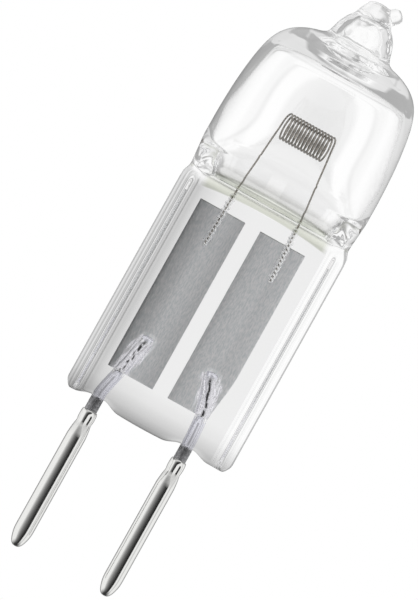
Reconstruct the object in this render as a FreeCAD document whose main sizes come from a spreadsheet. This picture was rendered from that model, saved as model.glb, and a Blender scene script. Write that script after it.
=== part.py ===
import FreeCAD, Part
import math
import os
import re

import Sketcher

# A halogen capsule lamp, in millimetres. The glass axis is Z, the pin tips are at height 0 and the
# bulb is at the top. X runs from the left pin to the right pin, and the front of the seal faces -Y.

SIZES = {
    # Bulb, outside: each height is a rise above the one before, each radius an inset from the widest
    "bulb_radius": 5.8,
    "bulb_foot_inset": 0.2,
    "bulb_foot_rise": 0.3,
    "bulb_flare": 2.1,
    "bulb_straight": 1.2,
    "crown_start_inset": 0.42,
    "crown_start_rise": 5.0,
    "crown_turn_inset": 2.4,
    "crown_turn_rise": 2.6,
    # Exhaust tip, melted off
    "tip_base_radius": 2.04,
    "tip_base_rise": 0.4,
    "tip_shoulder_radius": 1.78,
    "tip_shoulder_rise": 1.2,
    "tip_neck_radius": 1.18,
    "tip_neck_rise": 0.9,
    "tip_cap_radius": 1.1,
    "tip_cap_rise": 0.35,
    "tip_dome_radius": 0.8,
    "tip_dome_rise": 0.47,
    "tip_flat_radius": 0.3,
    "tip_flat_rise": 0.26,
    "tip_bead_radius": 0.45,
    "tip_bead_offset": 1.06,
    "tip_bead_drop": 0.24,
    # Shoulders, where the round bulb is pressed down to the flat seal
    "shoulder_foot_step": 0.58,
    "shoulder_foot_rise": 0.9,
    "shoulder_waist_step": 1.3,
    "shoulder_waist_rise": 0.6,
    "shoulder_rise": 4.0,
    "shoulder_margin": 0.15,
    # Pinch seal: its height follows the foils, and its width follows the pins
    "seal_bottom": 10.3,
    "seal_edge": 2.285,
    "seal_above_foil": 1.3,
    "seal_web": 3.0,
    "seal_corner": 0.6,
    "rail_width": 0.75,
    "rail_depth": 3.8,
    "rail_edge": 0.5,
    "rail_slope": 0.3,
    "lead_dip": 0.28,
    "dip_half_width": 0.75,
    "bulge_drop": 0.07,
    # Cavity inside the bulb
    "bulb_wall": 0.5,
    "crown_wall": 1.25,
    "cavity_floor_rise": 0.4,
    "cavity_floor_inset": 1.5,
    "cavity_round": 0.2,
    "cavity_side_rise": 2.6,
    "cavity_turn_inset": 0.77,
    "cavity_turn_drop": 0.4,
    "cavity_crown_inset": 1.45,
    "cavity_crown_rise": 1.45,
    "cavity_roof_inset": 3.2,
    "wedge_foot_depth": 0.8,
    "wedge_foot_rise": 0.8,
    "wedge_waist_depth": 2.6,
    "wedge_waist_rise": 1.1,
    "chimney_radius": 1.35,
    "chimney_neck_radius": 1.05,
    "chimney_neck_drop": 0.3,
    "chimney_wall": 0.5,
    # Foils
    "foil_width": 3.18,
    "foil_length": 11.9,
    "foil_above_foot": 2.4,
    "foil_thickness": 0.04,
    "foil_gap": 1.08,
    "foil_middle": -0.29,
    "foil_curl_width": 0.38,
    "foil_curl_height": 3.6,
    # Pins and the leads that they are crimped on
    "pin_spacing": 6.35,
    "pin_middle": -0.39,
    "pin_radius": 0.625,
    "pin_nose_radius": 0.22,
    "pin_taper": 1.15,
    "pin_crimp_radius": 0.5,
    "pin_crimp_slope": 0.94,
    "pin_crimp_rise": 0.16,
    "pin_ear_radius": 0.54,
    "pin_ear_length": 0.7,
    "pin_bore_depth": 4.8,
    "pin_bore_gap": 0.02,
    "lead_bare": 0.6,
    "lead_radius": 0.415,
    "lead_gap": 0.08,
    "lead_on_foil": 2.7,
    "left_bend_rise": 0.6,
    "left_lead_shift": 0.99,
    "right_bend_rise": 1.6,
    "right_lead_shift": 0.81,
    # Filament
    "wire_radius": 0.06,
    "coil_middle": -0.11,
    "coil_rise": 5.2,
    "coil_radius": 0.835,
    "coil_pitch": 0.223,
    "coil_turns": 14.33,
    "coil_runs": 12,
    "coil_yaw": 14.0,
    "leg_bend_radius": 0.35,
    "leg_on_foil": 2.5,
    "leg_entry_rise": 0.6,
    "leg_middle": -0.07,
    "leg_entry_spacing": 4.4,
    "leg_end_spacing": 4.72,
    "overwind_radius": 0.14,
    "overwind_gap": 0.02,
    "overwind_drop": 0.3,
}

# Heights above the pin tips, radii and depths that follow from the sizes
WORKED_OUT = {
    "seal_width": "pin_spacing + 2 * abs(pin_middle) + 2 * seal_edge",
    "foil_bottom": "seal_bottom + foil_above_foot",
    "foil_top": "foil_bottom + foil_length",
    "seal_top": "foil_top + seal_above_foil",
    "bulb_foot_radius": "bulb_radius - bulb_foot_inset",
    "bulb_foot_height": "seal_top + bulb_foot_rise",
    "bulb_wide_height": "bulb_foot_height + bulb_flare",
    "bulb_straight_top": "bulb_wide_height + bulb_straight",
    "crown_start_radius": "bulb_radius - crown_start_inset",
    "crown_start_height": "bulb_straight_top + crown_start_rise",
    "crown_turn_radius": "bulb_radius - crown_turn_inset",
    "crown_turn_height": "crown_start_height + crown_turn_rise",
    "tip_base_height": "crown_turn_height + tip_base_rise",
    "tip_shoulder_height": "tip_base_height + tip_shoulder_rise",
    "tip_neck_height": "tip_shoulder_height + tip_neck_rise",
    "tip_cap_height": "tip_neck_height + tip_cap_rise",
    "tip_dome_height": "tip_cap_height + tip_dome_rise",
    "tip_top_height": "tip_dome_height + tip_flat_rise",
    "tip_bead_height": "tip_top_height - tip_bead_drop",
    "shoulder_foot_depth": "seal_web / 2 + shoulder_foot_step",
    "shoulder_foot_height": "seal_top + shoulder_foot_rise",
    "shoulder_waist_depth": "shoulder_foot_depth + shoulder_waist_step",
    "shoulder_waist_height": "shoulder_foot_height + shoulder_waist_rise",
    "shoulder_top": "shoulder_waist_height + shoulder_rise",
    "cavity_floor": "seal_top + cavity_floor_rise",
    "cavity_floor_half": "bulb_radius - cavity_floor_inset",
    "cavity_side_height": "cavity_floor + cavity_side_rise",
    "cavity_turn_radius": "bulb_radius - cavity_turn_inset",
    "cavity_turn_height": "crown_start_height - cavity_turn_drop",
    "cavity_crown_radius": "bulb_radius - cavity_crown_inset",
    "cavity_crown_height": "cavity_turn_height + cavity_crown_rise",
    "cavity_roof_radius": "bulb_radius - cavity_roof_inset",
    "wedge_foot_height": "cavity_floor + wedge_foot_rise",
    "wedge_waist_height": "wedge_foot_height + wedge_waist_rise",
    "chimney_neck_height": "tip_shoulder_height - chimney_neck_drop",
    "chimney_top": "tip_neck_height - chimney_wall",
    "pin_top": "seal_bottom - lead_bare",
    "pin_ear_height": "pin_top - pin_ear_length",
    "pin_crimp_height": "pin_ear_height - pin_crimp_rise",
    "pin_shoulder": "pin_crimp_height - pin_crimp_slope",
    "pin_bore_bottom": "pin_top - pin_bore_depth",
    "left_lead_bend": "seal_bottom + left_bend_rise",
    "right_lead_bend": "seal_bottom + right_bend_rise",
    "coil_height": "seal_top + coil_rise",
    "leg_end": "foil_top - leg_on_foil",
    "leg_entry": "cavity_floor + leg_entry_rise",
    "overwind_top": "cavity_floor - overwind_drop",
}
NAMED = {**SIZES, **{name: "=" + words for name, words in WORKED_OUT.items()}}

os.makedirs("parts", exist_ok=True)
doc = FreeCAD.newDocument("capsule_lamp")
sheet = doc.addObject("Spreadsheet::Sheet", "sizes")
for row, name in enumerate(NAMED, start=1):
    sheet.setAlias(f"B{row}", name)
for row, (name, content) in enumerate(NAMED.items(), start=1):
    sheet.set(f"A{row}", name)
    sheet.set(f"B{row}", str(content))
doc.recompute()


def bound(words):
    """An expression in the sizes' names, with each name led by its sheet."""
    return re.sub(r"[a-z_]+", lambda word: "sizes." + word[0] if word[0] in NAMED else word[0], words)


def value(words):
    """What an expression in the sizes' names comes to."""
    return float(sheet.evalExpression(words))


def bind(thing, **expressions):
    """Binds properties to expressions in the sizes' names; two underscores stand for a dot."""
    for name, words in expressions.items():
        thing.setExpression(name.replace("__", "."), bound(words))


class Outline:
    """A chain of sides in a sketch, from corner to corner, with each corner tied to the sizes."""

    def __init__(self, sketch, corners, closed=True):
        self.sketch = sketch
        self.sides = []
        points = [FreeCAD.Vector(value(corner[0]), value(corner[1]), 0) for corner in corners]
        count = len(corners) if closed else len(corners) - 1
        heading = None
        for at in range(count):
            start, end = points[at], points[(at + 1) % len(points)]
            kind = corners[at][2] if len(corners[at]) > 2 else "straight"
            if kind == "into":
                after = points[(at + 2) % len(points)]
                heading = self.arc(end, start, (end - after).normalize(), backward=True)
            elif kind == "smooth":
                heading = self.arc(start, end, heading)
            elif kind == "bow":
                heading = self.bow(corners[at], corners[(at + 1) % len(corners)], start, end)
            else:
                geo = sketch.addGeometry(Part.LineSegment(start, end), False)
                self.sides.append((geo, 1, 2))
                heading = (end - start).normalize()
            self.pin_corner(self.sides[-1][0], self.sides[-1][1], corners[at], points[at])
        if not closed:
            self.pin_corner(self.sides[-1][0], self.sides[-1][2], corners[-1], points[-1])
        for at in range(count if closed else count - 1):
            first, second = self.sides[at], self.sides[(at + 1) % count]
            here = corners[(at + 1) % len(corners)]
            smooth = corners[at][2:] == ("into",) or here[2:] == ("smooth",)
            kind = "Tangent" if smooth else "Coincident"
            sketch.addConstraint(Sketcher.Constraint(kind, first[0], first[2], second[0], second[1]))

    def arc(self, start, end, heading, backward=False):
        """Adds the arc that leaves start along heading and ends at end; returns its last heading."""
        chord = end - start
        side = FreeCAD.Vector(-heading.y, heading.x, 0)
        if side.dot(chord) < 0:
            side = side.negative()
        radius = chord.Length**2 / (2 * side.dot(chord))
        centre = start + side * radius
        turning_left = heading.cross(side).z > 0
        first, last = (start, end) if turning_left else (end, start)
        angles = [math.atan2(point.y - centre.y, point.x - centre.x) for point in (first, last)]
        circle = Part.Circle(centre, FreeCAD.Vector(0, 0, 1), radius)
        geo = self.sketch.addGeometry(Part.ArcOfCircle(circle, angles[0], angles[1]), False)
        starts_first = turning_left != backward
        self.sides.append((geo, 1, 2) if starts_first else (geo, 2, 1))
        out = end - centre
        leaving = FreeCAD.Vector(-out.y, out.x, 0).normalize()
        leaving = leaving if turning_left else leaving.negative()
        return heading.negative() if backward else leaving

    def bow(self, first, last, start, end):
        """Adds an arc that stands off its chord, on the right, by the first corner's fourth item."""
        depth = value(first[3])
        chord = end - start
        along = FreeCAD.Vector(chord).normalize()
        half_turn = 2 * math.atan2(2 * depth, chord.Length)
        out = FreeCAD.Vector(along.y, -along.x, 0)
        heading = along * math.cos(half_turn) + out * math.sin(half_turn)
        leaving = self.arc(start, end, heading)
        radius = (chord.Length / 2) / math.sin(half_turn)
        at = self.sketch.addConstraint(Sketcher.Constraint("Radius", self.sides[-1][0], radius))
        across, rise = f"({last[0]} - ({first[0]}))", f"({last[1]} - ({first[1]}))"
        words = f"({across} ^ 2 + {rise} ^ 2) / (8 * ({first[3]})) + ({first[3]}) / 2"
        self.sketch.setExpression(f"Constraints[{at}]", bound(words))
        return leaving

    def pin_corner(self, geo, end, corner, point):
        """Ties one corner's two distances from the sketch's origin to their expressions."""
        axes = (("DistanceX", point.x, corner[0], -2), ("DistanceY", point.y, corner[1], -1))
        for kind, distance, words, axis in axes:
            if abs(distance) < 1e-9:
                self.sketch.addConstraint(Sketcher.Constraint("PointOnObject", geo, end, axis))
                continue
            ends = (-1, 1, geo, end) if distance > 0 else (geo, end, -1, 1)
            at = self.sketch.addConstraint(Sketcher.Constraint(kind, *ends, abs(distance)))
            sign = "" if distance > 0 else "-1 * "
            self.sketch.setExpression(f"Constraints[{at}]", bound(f"{sign}({words})"))


def body_named(name):
    body = doc.addObject("PartDesign::Body", name)
    body.Label = name
    return body


def sketch_on(body, name, plane, offset=None):
    """A sketch on one of the body's own planes, moved along its normal by an expression."""
    sketch = body.newObject("Sketcher::SketchObject", name)
    support = next(item for item in body.Origin.OriginFeatures if item.Role == plane)
    sketch.AttachmentSupport = (support, [""])
    sketch.MapMode = "FlatFace"
    if offset:
        bind(sketch, AttachmentOffset__Base__z=offset)
    return sketch


def free_sketch(name, turn=None):
    """A sketch outside any body, in the XY plane or stood up in XZ or YZ."""
    sketch = doc.addObject("Sketcher::SketchObject", name)
    if turn:
        sketch.Placement = FreeCAD.Placement(FreeCAD.Vector(), turn)
    return sketch

UPRIGHT = FreeCAD.Rotation(FreeCAD.Vector(1, 0, 0), 90)
SIDEWAYS = FreeCAD.Rotation(FreeCAD.Vector(1, 1, 1), 120)
# A turned solid closes on itself along one line, which stands clear of the bead, rails and shoulders
SKEWED = FreeCAD.Rotation(FreeCAD.Vector(0, 0, 1), 37) * UPRIGHT


def turned(name, corners):
    """The solid that a half outline (radius, height) sweeps about the glass axis."""
    sketch = free_sketch(name + "_profile", SKEWED)
    Outline(sketch, corners)
    solid = doc.addObject("Part::Revolution", name)
    solid.Source = sketch
    solid.Axis = FreeCAD.Vector(0, 0, 1)
    solid.Angle = 360
    solid.Solid = True
    return solid


def pressed(name, corners, turn, direction, length, symmetric=True):
    """The solid that an outline makes when it is drawn out along a direction."""
    sketch = free_sketch(name + "_outline", turn)
    Outline(sketch, corners)
    solid = doc.addObject("Part::Extrusion", name)
    solid.Base = sketch
    solid.DirMode = "Custom"
    solid.Dir = FreeCAD.Vector(*direction)
    solid.Solid = True
    solid.Symmetric = symmetric
    bind(solid, LengthFwd=length)
    return solid


def joined(kind, name, shapes):
    """A boolean of several solids: Part::MultiFuse or Part::MultiCommon."""
    solid = doc.addObject(kind, name)
    solid.Shapes = shapes
    solid.Refine = False
    return solid


def mirrored(corners):
    """The corners of one side, with a sign in front of each first coordinate."""
    return [("-1 * (" + corner[0] + ")", *corner[1:]) for corner in corners]


# Glass, outside: a turned bulb pressed between two shoulders, the pinch seal and the melted tip

bulb_turned = turned("bulb_turned", [
    ("0", "bulb_foot_height - seal_corner"),
    ("bulb_foot_radius", "bulb_foot_height - seal_corner"),
    ("bulb_foot_radius", "bulb_foot_height"),
    ("bulb_radius", "bulb_wide_height"),
    ("bulb_radius", "bulb_straight_top"),
    ("crown_start_radius", "crown_start_height", "smooth"),
    ("crown_turn_radius", "crown_turn_height"),
    ("tip_base_radius", "tip_base_height"),
    ("tip_shoulder_radius", "tip_shoulder_height"),
    ("tip_neck_radius", "tip_neck_height"),
    ("tip_cap_radius", "tip_cap_height"),
    ("tip_dome_radius", "tip_dome_height"),
    ("tip_flat_radius", "tip_top_height"),
    ("0", "tip_top_height"),
])
SHOULDER = [
    ("seal_web / 2", "bulb_foot_height - 2 * seal_corner"),
    ("seal_web / 2", "seal_top", "smooth"),
    ("shoulder_foot_depth", "shoulder_foot_height"),
    ("shoulder_waist_depth", "shoulder_waist_height", "smooth"),
    ("bulb_radius + shoulder_margin", "shoulder_top"),
    ("bulb_radius + shoulder_margin", "tip_top_height + shoulder_margin"),
]
bulb_press = pressed(
    "bulb_press",
    [
        *SHOULDER,
        *mirrored([
            SHOULDER[5],
            (*SHOULDER[4], "into"),
            SHOULDER[3][:2],
            (*SHOULDER[2], "into"),
            SHOULDER[1][:2],
            SHOULDER[0],
        ]),
    ],
    SIDEWAYS,
    (1, 0, 0),
    "4 * bulb_radius",
)
bulb_outside = joined("Part::MultiCommon", "bulb_outside", [bulb_turned, bulb_press])

RAIL = [
    ("seal_width / 2", "-1 * (rail_depth / 2 - rail_edge)"),
    ("seal_width / 2", "rail_depth / 2 - rail_edge", "smooth"),
    ("seal_width / 2 - rail_edge", "rail_depth / 2"),
    ("seal_width / 2 - rail_width", "rail_depth / 2"),
    ("seal_width / 2 - rail_width - rail_slope", "seal_web / 2"),
]
seal_section = pressed(
    "seal_section",
    [
        *RAIL,
        *mirrored([RAIL[4], RAIL[3], (*RAIL[2][:2], "smooth"), RAIL[1][:2], (*RAIL[0], "smooth")]),
        ("-1 * (seal_width / 2 - rail_edge)", "-1 * rail_depth / 2"),
        ("-1 * (seal_width / 2 - rail_width)", "-1 * rail_depth / 2"),
        ("-1 * (seal_width / 2 - rail_width - rail_slope)", "-1 * seal_web / 2"),
        ("seal_width / 2 - rail_width - rail_slope", "-1 * seal_web / 2"),
        ("seal_width / 2 - rail_width", "-1 * rail_depth / 2"),
        ("seal_width / 2 - rail_edge", "-1 * rail_depth / 2", "smooth"),
    ],
    None,
    (0, 0, 1),
    "seal_top + seal_corner",
    symmetric=False,
)
LEFT_PIN = "pin_middle - pin_spacing / 2"
RIGHT_PIN = "pin_middle + pin_spacing / 2"
seal_front = pressed(
    "seal_front",
    [
        ("-1 * (seal_width / 2 - seal_corner)", "seal_bottom"),
        (LEFT_PIN + " - dip_half_width - lead_dip", "seal_bottom"),
        (LEFT_PIN + " - dip_half_width", "seal_bottom + lead_dip"),
        (LEFT_PIN + " + dip_half_width", "seal_bottom + lead_dip", "bow", "lead_dip + bulge_drop"),
        (RIGHT_PIN + " - dip_half_width", "seal_bottom + lead_dip"),
        (RIGHT_PIN + " + dip_half_width", "seal_bottom + lead_dip"),
        (RIGHT_PIN + " + dip_half_width + lead_dip", "seal_bottom"),
        ("seal_width / 2 - seal_corner", "seal_bottom", "smooth"),
        ("seal_width / 2", "seal_bottom + seal_corner"),
        ("seal_width / 2", "seal_top - seal_corner", "smooth"),
        ("seal_width / 2 - seal_corner", "seal_top"),
        ("-1 * (seal_width / 2 - seal_corner)", "seal_top", "smooth"),
        ("-1 * seal_width / 2", "seal_top - seal_corner"),
        ("-1 * seal_width / 2", "seal_bottom + seal_corner", "smooth"),
    ],
    UPRIGHT,
    (0, 1, 0),
    "2 * rail_depth",
)
seal = joined("Part::MultiCommon", "seal", [seal_section, seal_front])
tip_bead = doc.addObject("Part::Sphere", "tip_bead")
bind(
    tip_bead,
    Radius="tip_bead_radius",
    Placement__Base__x="tip_bead_offset",
    Placement__Base__z="tip_bead_height",
)
glass_outside = joined("Part::MultiFuse", "glass_outside", [bulb_outside, seal, tip_bead])

# Glass, inside: the turned cavity, closed below by a pressed wedge, with the chimney in the tip

cavity_turned = turned("cavity_turned", [
    ("0", "cavity_floor - cavity_round"),
    ("bulb_radius - bulb_wall", "cavity_floor - cavity_round"),
    ("bulb_radius - bulb_wall", "bulb_straight_top"),
    ("cavity_turn_radius", "cavity_turn_height"),
    ("cavity_crown_radius", "cavity_crown_height"),
    ("cavity_roof_radius", "tip_base_height - crown_wall"),
    ("chimney_radius", "tip_base_height - crown_wall"),
    ("chimney_neck_radius", "chimney_neck_height"),
    ("tip_flat_radius", "chimney_top"),
    ("0", "chimney_top"),
])
WEDGE = [
    ("wedge_foot_depth", "wedge_foot_height"),
    ("wedge_waist_depth", "wedge_waist_height", "smooth"),
    ("bulb_radius", "shoulder_top"),
    ("bulb_radius", "tip_top_height"),
]
cavity_press = pressed(
    "cavity_press",
    [
        ("0", "cavity_floor"),
        ("cavity_round", "cavity_floor", "smooth"),
        *WEDGE,
        *mirrored([WEDGE[3], (*WEDGE[2], "into"), WEDGE[1][:2], (*WEDGE[0], "into")]),
        ("-1 * cavity_round", "cavity_floor"),
    ],
    SIDEWAYS,
    (1, 0, 0),
    "4 * bulb_radius",
)
CAVITY_SIDE = [
    ("cavity_floor_half - cavity_round", "cavity_floor - cavity_round"),
    ("cavity_floor_half", "cavity_floor + cavity_round"),
    ("bulb_radius", "cavity_side_height"),
    ("bulb_radius", "tip_top_height"),
]
cavity_front = pressed(
    "cavity_front",
    [*CAVITY_SIDE, *mirrored(reversed(CAVITY_SIDE))],
    UPRIGHT,
    (0, 1, 0),
    "4 * bulb_radius",
)
cavity = joined("Part::MultiCommon", "cavity", [cavity_turned, cavity_press, cavity_front])

# Foils: thin flat strips, the right one folded in at its outer lower corner

FOILS = {}
for side, sign in (("left", "-1"), ("right", "1")):
    body = body_named("foil_" + side)
    near = f"foil_middle + {sign} * foil_gap / 2"
    far = f"foil_middle + {sign} * (foil_gap / 2 + foil_width)"
    curl = f"foil_middle + {sign} * (foil_gap / 2 + foil_width - foil_curl_width)"
    corners = [(near, "foil_top"), (near, "foil_bottom"), (far, "foil_bottom")]
    if side == "right":
        corners = [*corners[:2], (curl, "foil_bottom"), (far, "foil_bottom + foil_curl_height")]
    corners.append((far, "foil_top"))
    sketch = sketch_on(body, f"foil_{side}_outline", "XZ_Plane")
    Outline(sketch, corners)
    strip = body.newObject("PartDesign::Pad", f"foil_{side}_strip")
    strip.Profile = sketch
    strip.SideType = "Symmetric"
    bind(strip, Length="foil_thickness")
    FOILS[side] = body


# Outer leads: a straight run in the pin, a bend in the glass and a half-round end on the foil


def lead_rod(name, side, radius, flat):
    """A rod that follows one outer lead's route; flat grinds its end down to the foil's face."""
    pin = LEFT_PIN if side == "left" else RIGHT_PIN
    inward = "1" if side == "left" else "-1"
    bend = side + "_lead_bend"
    body = body_named(name)
    route = sketch_on(body, name + "_route", "XZ_Plane")
    Outline(route, [
        (pin, "pin_bore_bottom + pin_bore_gap"),
        (pin, bend),
        (f"{pin} + {inward} * {side}_lead_shift", "foil_bottom + lead_on_foil"),
    ], closed=False)
    section = sketch_on(body, name + "_section", "XY_Plane", "pin_bore_bottom + pin_bore_gap")
    circle = Part.Circle(FreeCAD.Vector(value(pin), 0, 0), FreeCAD.Vector(0, 0, 1), value(radius))
    ring = section.addGeometry(circle, False)
    section.addConstraint(Sketcher.Constraint("PointOnObject", ring, 3, -1))
    across = (ring, 3, -1, 1) if value(pin) < 0 else (-1, 1, ring, 3)
    at = section.addConstraint(Sketcher.Constraint("DistanceX", *across, abs(value(pin))))
    section.setExpression(f"Constraints[{at}]", bound(f"abs({pin})"))
    at = section.addConstraint(Sketcher.Constraint("Radius", ring, value(radius)))
    section.setExpression(f"Constraints[{at}]", bound(radius))
    rod = body.newObject("PartDesign::AdditivePipe", name + "_rod")
    rod.Profile = section
    rod.Spine = route
    rod.Mode = "Standard"
    rod.Transition = "Right corner"
    if flat:
        face = sketch_on(body, name + "_flat", "XZ_Plane", "foil_thickness / 2")
        left, right = f"{pin} - 4 * lead_radius", f"{pin} + 4 * lead_radius"
        low, high = "foil_bottom - lead_gap", "foil_bottom + lead_on_foil + 2 * lead_radius"
        Outline(face, [(left, low), (right, low), (right, high), (left, high)])
        ground = body.newObject("PartDesign::Pocket", name + "_ground")
        ground.Profile = face
        bind(ground, Length="2 * lead_radius")
    return body


LEADS = {side: lead_rod("outer_lead_" + side, side, "lead_radius", True) for side in ("left", "right")}
LEAD_CHANNELS = [
    lead_rod("lead_channel_" + side, side, "lead_radius + lead_gap", False) for side in ("left", "right")
]

# Pins: sleeves with a rounded tip and a crimped neck that grips the lead

for side, place in (("left", LEFT_PIN), ("right", RIGHT_PIN)):
    body = body_named("pin_" + side)
    sketch = sketch_on(body, f"pin_{side}_profile", "XZ_Plane")
    Outline(sketch, [
        ("0", "0"),
        ("pin_nose_radius", "0", "into"),
        ("pin_radius", "pin_taper"),
        ("pin_radius", "pin_shoulder"),
        ("pin_crimp_radius", "pin_crimp_height"),
        ("pin_ear_radius", "pin_ear_height"),
        ("pin_ear_radius", "pin_top"),
        ("lead_radius + pin_bore_gap", "pin_top"),
        ("lead_radius + pin_bore_gap", "pin_bore_bottom"),
        ("0", "pin_bore_bottom"),
    ])
    sleeve = body.newObject("PartDesign::Revolution", f"pin_{side}_sleeve")
    sleeve.Profile = sketch
    sleeve.ReferenceAxis = (sketch, ["V_Axis"])
    sleeve.Angle = 360
    bind(body, Placement__Base__x=place)

# Filament: one wire, from a leg's end on a foil, through the coil, to the other leg's end

SEAT = -(value("foil_thickness") / 2 + value("overwind_radius"))
YAW = math.radians(value("coil_yaw"))
COIL_AXIS = FreeCAD.Vector(math.cos(YAW), math.sin(YAW), 0)
COIL_BACK = FreeCAD.Vector(-math.sin(YAW), math.cos(YAW), 0)
UP = FreeCAD.Vector(0, 0, 1)


def coil_points():
    """The coil's centre line: it starts at the back of the left end, going up."""
    pitch, turns, runs = value("coil_pitch"), value("coil_turns"), value("coil_runs")
    middle = FreeCAD.Vector(value("coil_middle"), 0, value("coil_height"))
    count = round(turns * runs)
    points = []
    for at in range(count + 1):
        angle = 2 * math.pi * turns * at / count
        across = COIL_BACK * math.cos(angle) + UP * math.sin(angle)
        along = COIL_AXIS * (pitch * turns * (at / count - 0.5))
        points.append(middle + along + across * value("coil_radius"))
    return points


def leg_points(start, heading, entry, end):
    """A leg's centre line: a bend out of the coil, then a run to the glass and a run to its end."""
    radius = value("leg_bend_radius")
    aim = (entry - start).normalize()
    side = (aim - heading * aim.dot(heading)).normalize()
    turn = math.acos(aim.dot(heading))
    bend = []
    for angle in (turn / 4, turn / 2, turn * 3 / 4):
        bend.append(start + (heading * math.sin(angle) + side * (1 - math.cos(angle))) * radius)
    return [*bend, entry, end]


def drawn(points, radius, aside):
    """A wire through a row of points, four-sided, which keeps a fine coil's faces few."""
    heading = (points[1] - points[0]).normalize()
    across = heading.cross(aside).normalize()
    beside = across.cross(heading)
    half = radius * math.sqrt(math.pi) / 2
    turns = ((1, 1), (-1, 1), (-1, -1), (1, -1), (1, 1))
    section = Part.makePolygon([points[0] + (across * i + beside * j) * half for i, j in turns])
    return Part.makePolygon(points).makePipeShell([section], True, False, 1)


LEG_POINTS = {}
for side, sign in (("left", -1), ("right", 1)):
    entry_x = value("leg_middle") + sign * value("leg_entry_spacing") / 2
    end_x = value("leg_middle") + sign * value("leg_end_spacing") / 2
    entry = FreeCAD.Vector(entry_x, SEAT, value("leg_entry"))
    LEG_POINTS[side] = (entry, FreeCAD.Vector(end_x, SEAT, value("leg_end")))
coil = coil_points()
left_leg = leg_points(coil[0], (coil[0] - coil[1]).normalize(), *LEG_POINTS["left"])
right_leg = leg_points(coil[-1], (coil[-1] - coil[-2]).normalize(), *LEG_POINTS["right"])
filament = doc.addObject("Part::Feature", "filament")
filament.Label = "filament"
filament.Shape = drawn([*reversed(left_leg), *coil, *right_leg], value("wire_radius"), COIL_BACK)

# Overwinds: the close-wound sleeve on each leg where it lies in the glass

OVERWINDS = {}
LEG_CHANNELS = []
for side, (entry, end) in LEG_POINTS.items():
    run = (entry - end).normalize()
    length = (value("overwind_top") - end.z) / run.z
    outer = Part.makeCylinder(value("overwind_radius"), length, end, run)
    inner = Part.makeCylinder(value("wire_radius") + value("overwind_gap"), length, end, run)
    sleeve = doc.addObject("Part::Feature", "leg_overwind_" + side)
    sleeve.Label = "leg_overwind_" + side
    sleeve.Shape = outer.cut(inner)
    OVERWINDS[side] = sleeve
    channel = doc.addObject("Part::Feature", "leg_channel_" + side)
    reach = (entry.z - end.z) / run.z + value("cavity_round")
    channel.Shape = Part.makeCylinder(value("overwind_radius") + value("overwind_gap"), reach, end, run)
    LEG_CHANNELS.append(channel)

# Envelope: the glass with its cavity and with what is sealed in it cut out, one after another

SEALED_IN = [*FOILS.values(), *LEAD_CHANNELS, *LEG_CHANNELS]
glass = glass_outside
for tool in [cavity, *SEALED_IN]:
    cut = doc.addObject("Part::Cut", "glass_without_" + tool.Name)
    cut.Base = glass
    cut.Tool = tool
    cut.Refine = False
    glass = cut
glass.Label = "quartz_envelope"

doc.recompute()

NODES = [
    "quartz_envelope",
    "filament",
    "leg_overwind_left",
    "leg_overwind_right",
    "foil_left",
    "foil_right",
    "outer_lead_left",
    "outer_lead_right",
    "pin_left",
    "pin_right",
]
for item in doc.Objects:
    if "Invalid" in item.State or "Error" in item.State:
        raise RuntimeError(f"{item.Name} failed: {item.State}")
for name in NODES:
    part = doc.getObjectsByLabel(name)[0]
    if part.Shape.isNull() or not part.Shape.isValid():
        raise RuntimeError(f"{name} has no sound shape")
for name in NODES:
    part = doc.getObjectsByLabel(name)[0]
    box = part.Shape.BoundBox
    print(
        f"{part.Label}: {len(part.Shape.Solids)} solid, {part.Shape.Volume:.3f} cubic mm, "
        f"x {box.XMin:.2f} {box.XMax:.2f}, y {box.YMin:.2f} {box.YMax:.2f}, z {box.ZMin:.2f} {box.ZMax:.2f}"
    )
    part.Shape.exportStep(f"parts/{part.Label}.step")
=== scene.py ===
import math

import bmesh
import bpy
import numpy as np
from mathutils import Matrix, Vector, noise


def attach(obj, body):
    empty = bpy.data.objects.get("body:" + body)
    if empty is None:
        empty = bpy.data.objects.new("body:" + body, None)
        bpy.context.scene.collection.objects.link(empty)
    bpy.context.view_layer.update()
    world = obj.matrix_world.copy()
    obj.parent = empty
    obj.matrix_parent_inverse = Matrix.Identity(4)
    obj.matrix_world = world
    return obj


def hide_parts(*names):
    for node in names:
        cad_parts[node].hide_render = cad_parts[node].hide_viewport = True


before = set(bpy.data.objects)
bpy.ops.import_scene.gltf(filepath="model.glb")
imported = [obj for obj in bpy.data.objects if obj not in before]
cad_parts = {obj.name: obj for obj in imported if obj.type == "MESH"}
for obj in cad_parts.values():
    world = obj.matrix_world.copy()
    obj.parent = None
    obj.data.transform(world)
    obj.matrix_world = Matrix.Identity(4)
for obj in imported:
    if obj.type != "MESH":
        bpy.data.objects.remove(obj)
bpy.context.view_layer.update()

# A halogen capsule lamp: clear quartz, a tungsten coil, foils in the pinch seal, and pins. Lengths
# below are millimetres unless they say metres, and a mesh is scaled to metres when it is made.

MM = 0.001
PIN_SPACING = 6.35
# Where the middle between the pins stands, off the axis of the glass
PIN_MIDDLE = -0.39
LEFT, RIGHT = -1, 1
SIDES = ((LEFT, "left"), (RIGHT, "right"))
# A length or share below this counts as nothing
NOTHING = 1e-9


# Small tools


def linear(hex_colour):
    """An sRGB hex colour as linear red, green, blue and alpha."""
    parts = [int(hex_colour[at:at + 2], 16) / 255 for at in (1, 3, 5)]
    turned = [c / 12.92 if c <= 0.04045 else ((c + 0.055) / 1.055) ** 2.4 for c in parts]
    return (*turned, 1.0)


def grey(value):
    return (value, value, value, 1.0)


def feed(tree, node, inputs):
    """Gives a node's inputs, by name or number, an output, a node (its first output in use) or a value."""
    for key, given in inputs.items():
        if isinstance(given, bpy.types.Node):
            given = next(output for output in given.outputs if output.enabled)
        if isinstance(given, bpy.types.NodeSocket):
            tree.links.new(given, node.inputs[key])
        else:
            node.inputs[key].default_value = given


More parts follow.
